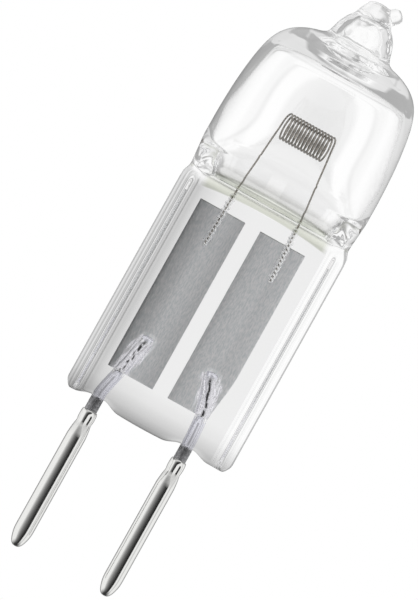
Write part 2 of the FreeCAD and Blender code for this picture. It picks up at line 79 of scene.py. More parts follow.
def add_node(tree, kind, inputs=None, stops=None, **settings):
    """Adds a node of the tree's own kinds, with its settings, inputs and, for a ramp, its stops."""
    node = tree.nodes.new(tree.bl_idname.removesuffix("Tree") + kind)
    for name, setting in settings.items():
        setattr(node, name, setting)
    feed(tree, node, inputs or {})
    if stops:
        marks = node.color_ramp.elements
        while len(marks) < len(stops):
            marks.new(0.5)
        for stop, (place, colour) in zip(marks, stops):
            stop.position = place
            stop.color = colour
    return node


def span(low, high):
    """Inputs that make a Map Range node turn a length into its share of the way from low to high."""
    return {"From Min": low * MM, "From Max": high * MM}


def share_of(low, high):
    """What places a length on a ramp that runs from low to high."""
    return lambda length: (length - low) / (high - low)


def grey_stops(table, place):
    """A ramp's stops from a table of measures and linear greys, and what places a measure on it."""
    return [(place(measure), grey(value)) for measure, value in table]


def two_tone(first, second, low=0.0, high=1.0):
    """A ramp's stops from one hex colour to another."""
    return [(low, linear(first)), (high, linear(second))]


def around(columns):
    """Evenly spaced angles, once round."""
    return np.linspace(0, 2 * math.pi, columns + 1)[:-1]


def smooth_step(low, high, at):
    share = np.clip((np.asarray(at, float) - low) / (high - low), 0, 1)
    return share * share * (3 - 2 * share)


def soft_least(one, other, reach):
    """The lesser of two lengths, rounded over where they cross."""
    share = np.clip(0.5 + 0.5 * (other - one) / reach, 0, 1)
    return other + (one - other) * share - reach * share * (1 - share)


def curve_through(points, at):
    """A smooth curve through a few points (height, value) that doesn't overshoot between them."""
    xs, ys = np.array(points, float).T
    slope = np.diff(ys) / np.diff(xs)
    inner = slope[:-1] * slope[1:]
    tangent = np.zeros(len(xs))
    tangent[1:-1] = np.where(inner > 0, 2 * inner / np.where(inner > 0, slope[:-1] + slope[1:], 1), 0)
    tangent[0], tangent[-1] = slope[0], slope[-1]
    at = np.clip(np.asarray(at, float), xs[0], xs[-1])
    piece = np.clip(np.searchsorted(xs, at, side="right") - 1, 0, len(xs) - 2)
    width = xs[piece + 1] - xs[piece]
    t = (at - xs[piece]) / width
    return (
        ys[piece] * (1 + 2 * t) * (1 - t) ** 2
        + ys[piece + 1] * t * t * (3 - 2 * t)
        + tangent[piece] * width * t * (1 - t) ** 2
        - tangent[piece + 1] * width * t * t * (1 - t)
    )


def ripple(points, size, seed):
    """A gentle noise from -1 to 1 at each point, with bumps about size across."""
    shift = Vector((seed * 17.3, seed * 5.1, seed * 29.7))
    return np.array([noise.noise(Vector(point) / size + shift) for point in points])


def shell_faces(rows, columns):
    """Quads that join rows of points, each row a closed ring, from the lowest row up."""
    faces = []
    for row in range(rows - 1):
        for column in range(columns):
            after = (column + 1) % columns
            low, high = row * columns, (row + 1) * columns
            faces.append((low + column, low + after, high + after, high + column))
    return faces


def finished(name, points, faces, material, replaces, outwards=True):
    """A piece on the root body, made from points in millimetres, with doubles merged."""
    mesh = bpy.data.meshes.new(name)
    mesh.from_pydata([tuple(p) for p in np.asarray(points) * MM], [], faces)
    work = bmesh.new()
    work.from_mesh(mesh)
    bmesh.ops.remove_doubles(work, verts=work.verts, dist=2e-7)
    bmesh.ops.dissolve_degenerate(work, edges=work.edges, dist=1e-7)
    if outwards:
        bmesh.ops.recalc_face_normals(work, faces=work.faces)
    work.to_mesh(mesh)
    work.free()
    mesh.materials.append(material)
    return carried(name, mesh, replaces)


def in_scene(name, data):
    thing = bpy.data.objects.new(name, data)
    bpy.context.scene.collection.objects.link(thing)
    return thing


def carried(name, mesh, replaces):
    """A smooth-shaded piece of this mesh, on the root body, in place of the named CAD nodes."""
    mesh.polygons.foreach_set("use_smooth", [True] * len(mesh.polygons))
    piece = in_scene(name, mesh)
    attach(piece, "root")
    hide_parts(*replaces)
    return piece


def mark(piece, label, values, points):
    """Stores a value for each point of a piece, found again by its place after the merge."""
    seat = {tuple(np.round(point, 4)): value for point, value in zip(points, values)}
    layer = piece.data.attributes.new(label, "FLOAT", "POINT")
    for at, vertex in enumerate(piece.data.vertices):
        layer.data[at].value = seat.get(tuple(np.round(np.array(vertex.co) / MM, 4)), 0.0)


# Materials


def new_material(name):
    """A material with its tree, its shader and a socket that gives places on the lamp in metres."""
    material = bpy.data.materials.new(name)
    material.use_nodes = True
    tree = material.node_tree
    place = add_node(tree, "TexCoord").outputs["Object"]
    return material, tree, tree.nodes["Principled BSDF"], place


QUARTZ_IOR = 1.458
# Light that has been turned back inside the glass more often than this goes straight out
TRAPPED_AFTER = 2.5
# Painted light and shade across the glass, by x: the fine light and dark lines where the left rail bends
# light, then a fading painted shade
RAIL_SPAN = (-6, 0)
RAIL_PAINTED_LINES = [
    (-5.84, 0.5), (-5.79, 0.35), (-5.75, 0.85), (-5.68, 1.0), (-5.62, 0.75), (-5.56, 0.35), (-5.50, 0.6),
    (-5.36, 0.68), (-5.29, 0.38), (-5.23, 0.85), (-5.12, 1.0), (-5.06, 0.8), (-5.02, 0.38),
    (-4.97, 0.52), (-4.5, 0.66), (-4.1, 0.8), (-3.0, 0.95), (-0.5, 1.0),
]
# Painted shade up from the seal's cut foot, by height: darker towards the foot
FOOT_SPAN = (10, 14)
FOOT_PAINTED_SHADE = [
    (10.3, 0.14), (10.42, 0.3), (10.55, 0.52), (11.0, 0.72), (11.8, 0.92), (12.7, 1.0), (13.5, 1.0),
]
# Heights over which that painted shade ends, under the bulb
PAINTED_SHADE_END = (25.2, 26.0)
# Painted light and shade under the cavity: a pale olive band with a dark line, where its pressed floor
# bends light. Its heights, how it arches, its half width where it is gone and where it is full, and its
# colours from the bottom up
FLOOR_SHADE_SPAN = (25.5, 27.6)
FLOOR_SHADE_ARCH = 0.018
FLOOR_SHADE_GONE, FLOOR_SHADE_FULL = 4.5, 4.1
FLOOR_SHADE_COLOURS = [
    (0.05, "#ffffff"), (0.1, "#d4d6cc"), (0.2, "#dcded4"), (0.3, "#e6e8de"), (0.44, "#f0f2ea"),
    (0.53, "#f4f6f0"), (0.58, "#a2a49c"), (0.64, "#dcdcda"), (1.0, "#ffffff"),
]
GRIPPED_ROUGHNESS = 0.45


def fused_quartz():
    """Fused silica, drawn as tube and fire polished: clear, with sharp edges of light and dark.

    Its colour holds painted light and shade: fine light and dark lines along the left rail, darker towards
    the foot, and a pale olive band with a dark line under the cavity. Where the glass grips the overwound
    legs it is rough, so it shows milky there.
    """
    material, tree, shader, place = new_material("fused_quartz")
    x, y, z = add_node(tree, "SeparateXYZ", {"Vector": place}).outputs
    # Painted light and shade: fine light and dark lines along the left rail, and darker towards the foot
    shades = []
    for axis, ends, table in ((x, RAIL_SPAN, RAIL_PAINTED_LINES), (z, FOOT_SPAN, FOOT_PAINTED_SHADE)):
        along = add_node(tree, "MapRange", {"Value": axis, **span(*ends)})
        shades.append(add_node(tree, "ValToRGB", {"Fac": along}, grey_stops(table, share_of(*ends))))
    painted_shade = add_node(
        tree, "Mix", {"Factor": 1, 6: shades[0], 7: shades[1]}, data_type="RGBA", blend_type="MULTIPLY"
    )
    above = add_node(tree, "MapRange", {"Value": z, **span(*PAINTED_SHADE_END)})
    clear = add_node(tree, "Mix", {"Factor": above, 6: painted_shade, 7: grey(1)}, data_type="RGBA")
    # Painted light and shade: a pale olive band with a dark line under the cavity, arched and fading out at
    # its sides
    square = add_node(tree, "Math", {0: x, 1: x}, operation="MULTIPLY")
    arched = add_node(tree, "Math", {0: square, 1: FLOOR_SHADE_ARCH / MM, 2: z}, operation="MULTIPLY_ADD")
    pressed = add_node(tree, "MapRange", {"Value": arched, **span(*FLOOR_SHADE_SPAN)})
    floor_shade_stops = [(spot, linear(colour)) for spot, colour in FLOOR_SHADE_COLOURS]
    painted_floor_shade = add_node(tree, "ValToRGB", {"Fac": pressed}, floor_shade_stops)
    within = add_node(tree, "MapRange", {
        "Value": square, "From Min": (FLOOR_SHADE_GONE * MM) ** 2, "From Max": (FLOOR_SHADE_FULL * MM) ** 2,
    })
    painted_shading = add_node(
        tree, "Mix", {"Factor": within, 6: clear, 7: painted_floor_shade}, data_type="RGBA", blend_type="MULTIPLY"
    )
    gripped = add_node(tree, "Attribute", attribute_name="gripped")
    matt = add_node(tree, "MapRange", {"Value": gripped.outputs["Fac"], "To Max": GRIPPED_ROUGHNESS})
    feed(tree, shader, {
        "Base Color": painted_shading, "Roughness": matt, "IOR": QUARTZ_IOR, "Transmission Weight": 1.0,
    })
    rays = add_node(tree, "LightPath")
    trapped = add_node(
        tree, "Math", {0: rays.outputs["Glossy Depth"], 1: TRAPPED_AFTER}, operation="GREATER_THAN"
    )
    leave = add_node(tree, "BsdfTransparent")
    both = add_node(tree, "MixShader", {"Fac": trapped, 1: shader, 2: leave})
    feed(tree, tree.nodes["Material Output"], {"Surface": both})
    return material


# How fine the grain of each metal is
TUNGSTEN_GRAIN = 0.12
FOIL_GRAIN = 0.09
ROD_GRAIN = 0.14
NICKEL_GRAIN = 0.08


def drawn_tungsten():
    """Tungsten wire, drawn through dies and flashed at white heat: a dull, warm, dark grey metal."""
    material, tree, shader, place = new_material("drawn_tungsten")
    grain = add_node(tree, "TexNoise", {"Vector": place, "Scale": 1 / (TUNGSTEN_GRAIN * MM), "Detail": 2})
    tint = add_node(tree, "ValToRGB", {"Fac": grain}, two_tone("#615e5a", "#bdb7ae"))
    feed(tree, shader, {"Base Color": tint, "Metallic": 1.0, "Roughness": 0.24})
    return material


# Painted shade across both foils, by x: darker towards the outer left, and beside the gap between them
FOIL_SPAN = (-4.1, 4.1)
FOIL_SHADES = [
    (-4.02, 0.4), (-3.7, 0.55), (-3.4, 0.72), (-3.0, 0.82), (-2.4, 1.0), (-1.8, 0.96), (-1.2, 0.84),
    (-0.9, 0.8), (0.4, 0.76), (0.7, 0.9), (1.3, 0.97), (1.95, 1.0), (2.4, 0.93), (3.3, 1.0),
]


def rolled_foil():
    """Molybdenum foil, rolled thin and etched: satin grey, with faint rolling lines along it.

    Where it was worked over the lead it is smoother, and a painted highlight makes it brighter, with painted
    shade in a dark streak down the middle.
    """
    material, tree, shader, place = new_material("rolled_molybdenum_foil")
    stretch = add_node(tree, "Mapping", {
        "Vector": place, "Scale": (1, 1, 0.3), "Rotation": (0, math.radians(9), 0),
    })
    lines = add_node(tree, "TexNoise", {"Vector": stretch, "Scale": 1 / (FOIL_GRAIN * MM), "Detail": 3})
    tint = add_node(tree, "ValToRGB", {"Fac": lines}, two_tone("#d4d8da", "#eeedee", 0.35, 0.65))
    x, y, z = add_node(tree, "SeparateXYZ", {"Vector": place}).outputs
    # Painted shade across the foils, by x
    across = add_node(tree, "MapRange", {"Value": x, **span(*FOIL_SPAN)})
    shade = add_node(tree, "ValToRGB", {"Fac": across}, grey_stops(FOIL_SHADES, share_of(*FOIL_SPAN)))
    colour = add_node(
        tree, "Mix", {"Factor": 1, 6: tint, 7: shade}, data_type="RGBA", blend_type="MULTIPLY"
    )
    crinkle_and_glint = add_node(tree, "Attribute", attribute_name="crinkle_and_glint").outputs["Fac"]
    painted_dark_streak = add_node(tree, "Attribute", attribute_name="painted_dark_streak").outputs["Fac"]
    # Painted highlight where the foil was worked over the lead, and painted shade as a dark streak down its
    # middle
    for cover, over in ((crinkle_and_glint, "#f4f3f8"), (painted_dark_streak, "#3c3c3e")):
        colour = add_node(tree, "Mix", {"Factor": cover, 6: colour, 7: linear(over)}, data_type="RGBA")
    rough = add_node(tree, "MapRange", {"Value": crinkle_and_glint, "To Min": 0.42, "To Max": 0.2})
    bump = add_node(tree, "Bump", {"Height": lines, "Strength": 0.3, "Distance": 0.01 * MM})
    feed(tree, shader, {"Base Color": colour, "Roughness": rough, "Normal": bump, "Metallic": 1.0})
    return material


# Heights over which a rod turns from dull, in the air, to silvery, in the glass
ROD_SEALED = (10.5, 10.7)


def drawn_molybdenum():
    """Molybdenum rod, drawn: dull dark grey where air has reached it, silvery inside the glass."""
    material, tree, shader, place = new_material("drawn_molybdenum")
    grain = add_node(tree, "TexNoise", {"Vector": place, "Scale": 1 / (ROD_GRAIN * MM), "Detail": 3})
    dull = add_node(tree, "ValToRGB", {"Fac": grain}, two_tone("#8e8e90", "#bcbcbe", 0.35, 0.65))
    bright = add_node(tree, "ValToRGB", {"Fac": grain}, two_tone("#dedee8", "#f6f6fc"))
    x, y, z = add_node(tree, "SeparateXYZ", {"Vector": place}).outputs
    sealed = add_node(tree, "MapRange", {"Value": z, **span(*ROD_SEALED)})
    tint = add_node(tree, "Mix", {"Factor": sealed, 6: dull, 7: bright}, data_type="RGBA")
    rough = add_node(tree, "MapRange", {"Value": sealed, "To Min": 0.55, "To Max": 0.22})
    feed(tree, shader, {"Base Color": tint, "Roughness": rough, "Metallic": 1.0})
    return material


def bright_nickel():
    """Nickel tube, swaged and barrelled: bright, with the soft draw lines of its making."""
    material, tree, shader, place = new_material("bright_nickel")
    stretch = add_node(tree, "Mapping", {"Vector": place, "Scale": (1, 1, 0.05)})
    lines = add_node(tree, "TexNoise", {"Vector": stretch, "Scale": 1 / (NICKEL_GRAIN * MM), "Detail": 3})
    rough = add_node(tree, "MapRange", {"Value": lines, "To Min": 0.07, "To Max": 0.16})
    feed(tree, shader, {"Base Color": linear("#ececea"), "Roughness": rough, "Metallic": 1.0})
    return material


def bright_winding():
    """Tungsten overwind, clean and bright where the glass has kept the air off it."""
    material, tree, shader, _ = new_material("bright_tungsten")
    feed(tree, shader, {"Base Color": linear("#f8f8f8"), "Metallic": 1.0, "Roughness": 0.2})
    return material


QUARTZ = fused_quartz()
WINDING_METAL = bright_winding()
TUNGSTEN = drawn_tungsten()
FOIL = rolled_foil()
ROD = drawn_molybdenum()
NICKEL = bright_nickel()

# Glass, outside: one closed skin, drawn as rings from the seal's foot to the melted tip

SEAL_HALF = 5.85
SEAL_FOOT = 10.3
# Half thickness of the seal's web and of the rails at its edges, their rounding, and their step inside
WEB_HALF = 1.5
RAIL_HALF = 1.9
RAIL_ROUND = 0.5
RAIL_STEP = (0.5, 1.25)
# Rounding of the foot along the flats and at the corners, and where the press met the bulb
FOOT_ROUND = 0.25
CORNER_ROUND = 0.72
PRESS_ROUND = 0.6
# Heights over which the railed seal turns into the bulb
SEAL_TO_BULB = (25.2, 26.3)
# The cut foot, with a dip where each lead leaves it and a sag between them
FOOT_RAISED = 0.03
DIP_HEIGHT = 0.3
DIP_REACH = (0.4, 1.6)
SAG_DEPTH, SAG_MIDDLE, SAG_HALF = 0.1, -0.4, 2.55

# Half width of the glass by height, in the plane of the seal and of the bulb
WIDTH = [
    (SEAL_FOOT, SEAL_HALF), (25.0, SEAL_HALF), (25.6, 5.82), (26.2, 5.64), (27.2, 5.71), (28.4, 5.8),
    (29.5, 5.8), (31.6, 5.73), (32.5, 5.66), (33.4, 5.56), (34.3, 5.42), (35.0, 5.26), (35.6, 5.05),
    (36.1, 4.77), (36.5, 4.42), (36.85, 3.96), (37.1, 3.48), (37.28, 3.0), (37.42, 2.5), (37.62, 2.18),
    (38.0, 2.04), (38.5, 1.88), (38.9, 1.7), (39.25, 1.46), (39.5, 1.25), (39.75, 1.14), (40.0, 1.05),
    (40.25, 0.9), (40.45, 0.7), (40.6, 0.45), (40.68, 0.0),
]
# Half depth by height, where the press has drawn the round bulb down to the flat seal
DEPTH = [
    (SEAL_FOOT, WEB_HALF), (25.5, WEB_HALF), (26.0, 1.57), (26.4, 1.8), (26.8, 2.3), (27.3, 3.08),
    (27.9, 4.0), (28.6, 4.8), (29.4, 5.42), (30.2, 5.82), (31.2, 6.15), (32.5, 6.4), (34.0, 6.6),
    (41.0, 8.0),
]


def pin_centre(side):
    return PIN_MIDDLE + side * PIN_SPACING / 2


def ring_angles():
    """Angles round the lamp, closest where the rails of the seal need them."""
    parts = (np.linspace(0, 18, 19), np.linspace(18, 38, 25), np.linspace(38, 90, 28))
    quarter = np.radians(np.concatenate([part[:-1] for part in parts]))
    turn = math.pi / 2
    return np.concatenate([
        quarter, 2 * turn - quarter[::-1][:-1], [2 * turn], 2 * turn + quarter[1:], [3 * turn],
        4 * turn - quarter[::-1][:-1],
    ])


def rail_depth(inwards):
    """Half depth of the seal at a distance in from its edge: a rounded rail, then the web."""
    near = np.clip(inwards, 0, RAIL_ROUND)
    edge = RAIL_HALF - RAIL_ROUND + np.sqrt(RAIL_ROUND ** 2 - (RAIL_ROUND - near) ** 2)
    return edge - (RAIL_HALF - WEB_HALF) * smooth_step(*RAIL_STEP, inwards)


def bulb_ring(half, height, angles):
    """Half depth round one ring of the bulb: a circle, flattened where the press closed on it."""
    round_depth = half * np.abs(np.sin(angles))
    return soft_least(round_depth, float(curve_through(DEPTH, height)), PRESS_ROUND)


def outer_ring(height, angles, width=None):
    """One ring of the glass outside: the pressed circle of the bulb, or the railed seal."""
    half = curve_through(WIDTH, height) if width is None else width
    x = half * np.cos(angles)
    bulb = bulb_ring(half, height, angles)
    share = smooth_step(*SEAL_TO_BULB, height)
    depth = bulb * share + rail_depth(half - np.abs(x)) * (1 - share)
    depth = np.where(np.abs(np.sin(angles)) < NOTHING, 0, depth)
    return np.stack([x, np.sign(np.sin(angles)) * depth, np.full(len(x), height)], 1)


def foot_line(x):
    """Height of the seal's cut foot: dips where the leads leave it, and a sag between them."""
    height = np.full(len(x), SEAL_FOOT + FOOT_RAISED)
    for side in (LEFT, RIGHT):
        height += DIP_HEIGHT * (1 - smooth_step(*DIP_REACH, np.abs(x - pin_centre(side))))
    between = 1 - np.clip(((x - SAG_MIDDLE) / SAG_HALF) ** 2, 0, 1)
    return height - SAG_DEPTH * between


def foot_rows(angles):
    """The seal's foot: the lid from its middle line out, then the rounded edge up to the flats."""
    full = outer_ring(SEAL_FOOT + 1.0, angles)
    along = np.roll(full, -1, 0) - np.roll(full, 1, 0)
    normal = np.stack([along[:, 1], -along[:, 0]], 1)
    normal /= np.linalg.norm(normal, axis=1)[:, None]
    reach = FOOT_ROUND + (CORNER_ROUND - FOOT_ROUND) * np.abs(normal[:, 0]) ** 2
    inset = full.copy()
    inset[:, :2] -= normal * reach[:, None]
    inset[:, 2] = foot_line(inset[:, 0])
    rows = []
    for share in (0.0, 0.3, 0.6, 0.85, 1.0):
        lid = inset.copy()
        lid[:, 1] *= share
        rows.append(lid)
    for turn in np.radians((12, 24, 36, 48, 60, 70, 80, 90)):
        edge = full.copy()
        edge[:, :2] -= normal * (reach * (1 - math.sin(turn)))[:, None]
        edge[:, 2] = foot_line(inset[:, 0]) + reach * (1 - math.cos(turn))
        rows.append(edge)
    return rows


# The round cap on the tip, over the rings that the table of widths gives
CAP_FOOT, CAP_HALF, CAP_RISE = 40.3, 0.86, 0.38


def outer_skin():
    """The outside of the glass, with its rings closest where it turns most."""
    angles = ring_angles()
    rows = foot_rows(angles)
    heights = [
        *np.linspace(11.2, 25.0, 12), *np.linspace(25.15, 28.6, 46), *np.linspace(28.8, 34.4, 28),
        *np.linspace(34.6, 37.0, 28), *np.linspace(37.06, 37.7, 16), *np.linspace(37.76, CAP_FOOT, 32),
    ]
    rows += [outer_ring(height, angles) for height in heights]
    for share in np.linspace(0.15, 1.0, 10):
        turn = share * math.pi / 2
        width = CAP_HALF * math.cos(turn) if share < 1 else 0.0
        rows.append(outer_ring(CAP_FOOT + CAP_RISE * math.sin(turn), angles, width))
    return melted(np.concatenate(rows)), shell_faces(len(rows), len(angles))


# The tip's bead: where from, which way and how far it is pulled, the height that it stops at, and the
# cosines off its aim and the heights over which the pull grows
TIP_HEART = np.array([0.1, 0.0, 39.3])
BEAD_AIM = np.array([0.68, 0.0, 0.73])
BEAD_PULL = 0.66
BEAD_TOP, BEAD_TOP_ROUND = 40.87, 0.2
BEAD_CLAMPED = 40.2
BEAD_EDGE = (0.91, 0.985)
BEAD_HEIGHTS = (39.3, 39.9)
# The rippled stub under the bead: where ripples come and go, and each one's size, height and seed
STUB_START, STUB_END = (37.3, 38.0), (40.2, 40.5)
STUB_RIPPLES = ((1.1, 0.07, 3), (0.4, 0.035, 5))


def pushed_out(points, wave, least):
    """Points moved away from the Z axis by a wave, and less so where they are nearer to it than least."""
    outward = points * np.array([1, 1, 0])
    outward /= np.maximum(np.linalg.norm(outward, axis=1), least)[:, None]
    return points + outward * wave[:, None]


def melted(points):
    """What the flame left: the tip's bead pulled over to one side, and ripples in the tip."""
    from_heart = points - TIP_HEART
    reach = np.linalg.norm(from_heart, axis=1)
    aim = BEAD_AIM / np.linalg.norm(BEAD_AIM)
    facing = (from_heart @ aim) / np.maximum(reach, NOTHING)
    above = smooth_step(*BEAD_HEIGHTS, points[:, 2])
    pull = BEAD_PULL * smooth_step(*BEAD_EDGE, facing) * above
    points = points + from_heart / np.maximum(reach, NOTHING)[:, None] * pull[:, None]
    clamped = soft_least(points[:, 2], BEAD_TOP, BEAD_TOP_ROUND)
    points[:, 2] = np.where(points[:, 2] > BEAD_CLAMPED, clamped, points[:, 2])
    stub = smooth_step(*STUB_START, points[:, 2]) * (1 - smooth_step(*STUB_END, points[:, 2]))
    wave = sum(ripple(points, size, seed) * height * stub for size, height, seed in STUB_RIPPLES)
    return pushed_out(points, wave, 1e-6)


# Glass, inside: the cavity with its pressed floor, and the chimney up into the tip

# Half width of the cavity low down, where its sides close in on the seal, by height
LOW_WIDTH = [(26.3, 4.25), (26.7, 4.42), (27.2, 4.75), (28.0, 5.15), (28.8, 5.45), (29.2, 6.0)]
# How square those low rings are at their sides, how much squarer they get, and over which heights
LOW_SQUARENESS, LOW_GROWTH = 14, 20
LOW_END = (27.8, 28.8)
# Wall thickness at the sides and over the crown, by the height outside
SIDE_WALL = [
    (25.0, 0.4), (29.0, 0.37), (33.0, 0.46), (34.4, 0.56), (35.2, 0.68), (36.0, 0.84), (36.6, 0.92),
    (37.2, 0.96),
]
FRONT_WALL = 0.42
# Where the front's wall takes over from the sides', by the sine of the angle round, and ends, by height
FRONT_SIDES = (0.12, 0.5)
FRONT_TOP = (34.9, 36.8)
# The roof from the crown's wall in to the chimney, as height and radius
ROOF_TOP = 39.35
ROOF = [
    (36.35, 2.6), (36.43, 2.3), (36.55, 1.98), (36.75, 1.66), (37.1, 1.44), (37.8, 1.3), (38.5, 1.1),
    (39.0, 0.75), (39.2, 0.5), (ROOF_TOP, 0.0),
]
# The floor: its height, its rise per millimetre to the back, and its rings' share out and drop
FLOOR_START = 26.5
FLOOR_TILT = 0.22
FLOOR_RINGS = ((0.0, 0.1), (0.3, 0.1), (0.6, 0.1), (0.85, 0.1), (0.93, 0.085), (0.98, 0.05))
# Half width, on a round bulb, of the middle that hardly turns light, and how fast the turn grows
PATCH_HALF = 2.45
TURN_AT_PATCH = 0.0276
# How much less the turn grows outwards low down, and the heights over which that ends
LOW_TURN = 0.57
LOW_TURN_END = (26.8, 31.0)
# The height where the bulb starts to turn light upwards too, and how fast
SHOULDER_TURN, SHOULDER_SHARE = 32.2, 0.8


def surface_normals(angles, height, step=0.01):
    """Unit normals of the glass outside, pointing into the glass."""
    ring = outer_ring(height, angles)
    above, below = outer_ring(height + step, angles), outer_ring(height - step, angles)
    turned = outer_ring(height, angles + 1e-3)
    back = outer_ring(height, angles - 1e-3)
    normal = np.cross(above - below, turned - back)
    normal /= np.linalg.norm(normal, axis=1)[:, None]
    facing = np.sum(normal * ring * np.array([1, 1, 0]), axis=1)
    return ring, np.where(facing[:, None] > 0, -normal, normal)


def path_length(facing):
    """How far level light runs in a wall that doesn't turn it, by the cosine of its slant."""
    steps = np.linspace(1, 0, 201)
    inside = np.sqrt(1 - (1 - steps ** 2) / QUARTZ_IOR ** 2)
    rise = np.diff(inside) - np.diff(steps) / QUARTZ_IOR
    fall = np.concatenate([[0], np.cumsum(rise / ((inside[1:] + inside[:-1]) / 2))])
    return FRONT_WALL * np.interp(facing, steps[::-1], np.exp(-fall)[::-1])


def extra_wall(x, height):
    """Wall added away from the bulb's middle, which turns light outwards as a round bulb does."""
    pressed = LOW_TURN + (1 - LOW_TURN) * smooth_step(*LOW_TURN_END, height)
    over = np.clip(height - SHOULDER_TURN, 0, None) * SHOULDER_SHARE
    out = np.sqrt((x * pressed) ** 2 + over ** 2)
    return TURN_AT_PATCH / PATCH_HALF ** 2 * out ** 3 / 3


def front_curve(height):
    """The cavity's wall in front, one curve from side to side, for a height on the outside."""
    angles = np.linspace(math.pi, 2 * math.pi, 361)
    ring, normal = surface_normals(np.clip(angles, math.pi + 1e-4, 2 * math.pi - 1e-4), height)
    facing = np.clip(normal[:, 1], 0, 1)
    inside = np.sqrt(1 - (1 - facing ** 2) / QUARTZ_IOR ** 2)
    course = normal * (inside - facing / QUARTZ_IOR)[:, None]
    course[:, 1] += 1 / QUARTZ_IOR
    length = path_length(facing) + extra_wall(ring[:, 0], height)
    clear = ring + course * length[:, None]
    side = ring + normal * float(curve_through(SIDE_WALL, height))
    share = smooth_step(*FRONT_SIDES, np.abs(np.sin(angles))) * float(1 - smooth_step(*FRONT_TOP, height))
    wall = clear * share[:, None] + side * (1 - share)[:, None]
    wall[[0, -1], 1] = 0
    return wall


def cavity_ring(height, angles):
    """One ring of the cavity, from its front curve, with the same again behind."""
    wall = front_curve(height)
    half = min(float(curve_through(LOW_WIDTH, height)), float(wall[-1, 0]))
    x = half * np.cos(angles)
    order = np.argsort(wall[:, 0])
    depth = -np.interp(x, wall[order, 0], wall[order, 1])
    if half < wall[-1, 0]:
        power = LOW_SQUARENESS * (1 + LOW_GROWTH * float(smooth_step(*LOW_END, height)))
        depth = depth * np.sqrt(np.clip(1 - np.abs(x / half) ** power, 0, 1))
    depth = np.where(np.abs(np.sin(angles)) < NOTHING, 0, np.maximum(depth, 0))
    return np.stack([x, np.sign(np.sin(angles)) * depth, np.interp(x, wall[order, 0], wall[order, 2])], 1)


def cavity_skin():
    """The cavity as one closed skin: its floor, its walls, and its roof up into the tip."""
    angles = around(192)
    rim = cavity_ring(FLOOR_START, angles)
    rows = []
    for share, drop in FLOOR_RINGS:
        lid = rim * np.array([1 - 0.03 * (1 - share), share, 1])
        lid[:, 2] -= drop
        rows.append(lid)
    heights = [
        *np.linspace(FLOOR_START, 28.8, 40), *np.linspace(28.95, 34.4, 42), *np.linspace(34.5, 37.2, 46),
    ]
    rows += [cavity_ring(height, angles) for height in heights]
    brow = rows[-1]
    # The roof's first rings ease over from the wall's last one
    for share, height in zip((0.35, 0.75, *[1.0] * 28), np.linspace(36.36, 39.34, 30)):
        radius = float(curve_through(ROOF, height))
        ring = np.stack([radius * np.cos(angles), radius * np.sin(angles), np.full(len(angles), height)], 1)
        rows.append(brow * (1 - share) + ring * share)
    rows.append(np.tile([0.0, 0.0, ROOF_TOP], (len(angles), 1)))
    points = np.concatenate(rows)
    low = 1 - smooth_step(26.55, 27.1, points[:, 2])
    points[:, 2] += (FLOOR_TILT * points[:, 1] + 0.03 * ripple(points, 0.9, 11)) * low
    reach = np.hypot(points[:, 0], points[:, 1])
    roof = smooth_step(35.9, 36.3, points[:, 2]) * (1 - smooth_step(2.0, 2.9, reach))
    points = pushed_out(points, ripple(points, 0.6, 8) * 0.06 * roof, 0.3)
    return points, [face[::-1] for face in shell_faces(len(rows), len(angles))]


# Glass, inside: the thin gas-filled channels along the outer leads and the overwound legs

# The lower and the upper end of a lead's way in its pin, the glass and the foil
LEAD_FROM, LEAD_TO = 9.9, 15.4
# Each lead's middle line, as height and x
LEAD_ROUTES = {
    LEFT: [(LEAD_FROM, -3.565), (10.9, -3.565), (11.3, -3.5), (12.7, -3.17), (15.45, -2.59)],
    RIGHT: [(LEAD_FROM, 2.785), (11.1, 2.785), (11.7, 2.75), (12.7, 2.67), (LEAD_TO, 1.98)],
}
# The glass grips the lead, so its channel lies a hair inside the rod and no gap of air shows
ROD_RADIUS = 0.415
GRIP_RADIUS = 0.4
GRIP_FROM, GRIP_TO = 10.7, 12.8
# Where the legs are sealed in: the middle between them, their spacing at the cavity and at their ends,
# their y, which is in front of the middle plane, and the heights of both places
LEG_MIDDLE, LEG_ENTRY_SPACING, LEG_END_SPACING = -0.07, 4.4, 4.72
LEG_SEAT = -0.16
LEG_ENTRY, LEG_END = 26.9, 22.1
# The overwind: the real one is wound closer and finer than a picture of this size can show, so its
# turns are drawn this coarse to be seen
WINDING_PITCH = 0.27
WINDING_WIRE, WINDING_RADIUS, WINDING_TOP = 0.055, 0.11, 26.0
# The channel round a leg: its radius, its beads, its sway and its top, and how milky the glass is
# there, as a share of the roughness of gripped glass
LEG_BORE, LEG_BEAD, LEG_SWAY, LEG_TOP = 0.18, 0.05, 0.03, 26.02
LEG_GRIP = 0.3


def lead_centre(side, height):
    return curve_through(LEAD_ROUTES[side], height)


def leg_seat(side):
    """The straight run of one leg in the glass: where it leaves the cavity, and its end on the foil."""
    return (
        (LEG_MIDDLE + side * LEG_ENTRY_SPACING / 2, LEG_SEAT, LEG_ENTRY),
        (LEG_MIDDLE + side * LEG_END_SPACING / 2, LEG_SEAT, LEG_END),
    )


def channel(rows, columns):
    """A closed round tube from rows of (x, y, z, radius), turned into the glass."""
    points = []
    for x, y, z, radius in rows:
        points += [(x + radius * math.cos(a), y + radius * math.sin(a), z) for a in around(columns)]
    faces = shell_faces(len(rows), columns)
    last = len(points) - columns
    faces += [tuple(range(columns))[::-1], tuple(range(last, len(points)))]
    return np.array(points), [face[::-1] for face in faces]


def lead_channel(side):
    """The channel round a lead in the seal, a little narrower at its ends."""
    rows = []
    for z in np.linspace(10.72, 12.78, 24):
        ends = math.sqrt(min(1, (z - GRIP_FROM) / 0.1, (GRIP_TO - z) / 0.12))
        rows.append((float(lead_centre(side, z)), 0, z, GRIP_RADIUS * (0.9 + 0.1 * ends)))
    return channel(rows, 40)


